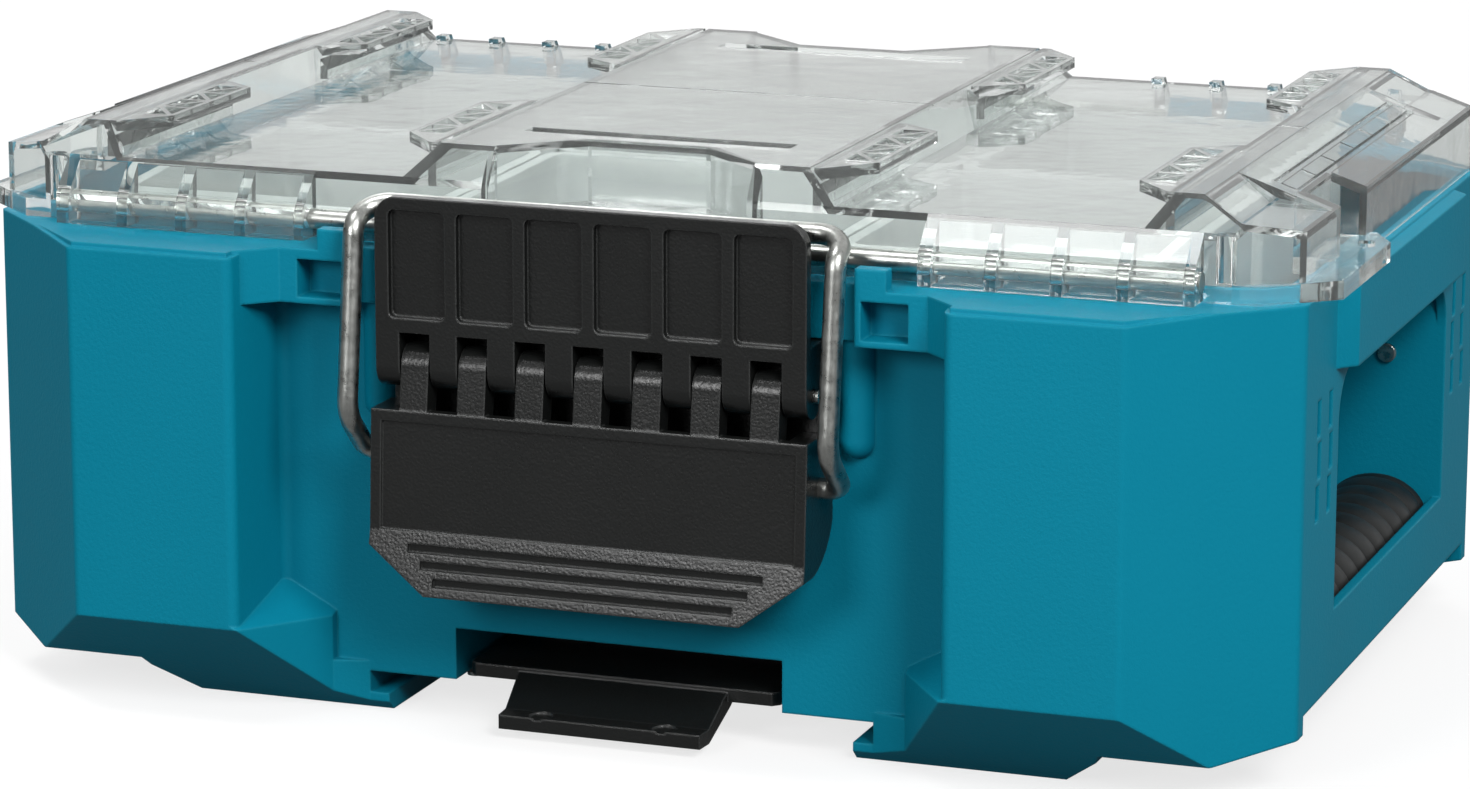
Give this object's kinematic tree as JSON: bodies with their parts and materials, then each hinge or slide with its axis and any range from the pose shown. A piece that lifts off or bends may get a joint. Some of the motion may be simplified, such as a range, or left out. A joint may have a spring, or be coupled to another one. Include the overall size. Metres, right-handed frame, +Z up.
{
  "type": "compartment storage box",
  "caption": "Stackable parts organiser: a deep moulded case with lift-out bins, a clear hinged lid, a wire-bail latch, side handle pockets and a sliding stack lock.",
  "frame": {"origin": "on the floor under the middle of the box", "axes": "+Z up, +X to the right as seen from the latch, the latch faces -Y"},
  "size_m": [0.414, 0.295, 0.17],
  "materials": {
    "teal_case": "fine moulded grain",
    "clear_lid": "clear, polished",
    "black_latch": "satin moulded grain",
    "zinc_steel": "zinc plated",
    "black_rubber": "matt, ribbed",
    "grey_bin": "satin"
  },
  "bodies": {
    "case": {"case_body": "teal_case", "lid_hinge_rod": "zinc_steel", "latch_base": "black_latch", "latch_base_screws": "zinc_steel", "latch_hinge_pin": "zinc_steel", "stack_lock_retainer": "black_latch", "stack_lock_screws": "zinc_steel", "stack_lock_springs": "zinc_steel", "right_grip": "black_rubber", "left_grip": "black_rubber", "right_pocket_pins": "zinc_steel", "left_pocket_pins": "zinc_steel", "front_left_bin": "grey_bin", "front_middle_bin": "grey_bin", "front_right_bin": "grey_bin", "rear_left_bin": "grey_bin", "rear_middle_bin": "grey_bin", "rear_right_bin": "grey_bin"},
    "lid": {"lid_shell": "clear_lid", "lid_front_rod": "zinc_steel"},
    "flap": {"latch_flap": "black_latch"},
    "bail": {"latch_bail": "zinc_steel"},
    "slider": {"stack_lock_slider": "black_latch"}
  },
  "joints": [
    {"name": "lid_hinge", "type": "hinge", "parent": "case", "child": "lid", "pos_m": [0, 0.1245, 0.1471], "axis": [-1, 0, 0], "range_deg": [0, 105]},
    {"name": "flap_hinge", "type": "hinge", "parent": "case", "child": "flap", "pos_m": [0, -0.133, 0.1095], "axis": [-1, 0, 0], "range_deg": [0, 100]},
    {"name": "bail_hinge", "type": "hinge", "parent": "flap", "child": "bail", "pos_m": [0, -0.13, 0.0825], "axis": [-1, 0, 0], "range_deg": [-73.5, 0]},
    {"name": "stack_lock_slide", "type": "slide", "parent": "case", "child": "slider", "axis": [0, 1, 0], "range_m": [0, 0.008], "stiffness_N_per_m": 300, "springref_m": -0.005, "deforming": ["stack_lock_springs"]}
  ],
  "couplings": [
    {"joint": "bail_hinge", "follows": "flap_hinge", "ratio": -0.735}
  ]
}
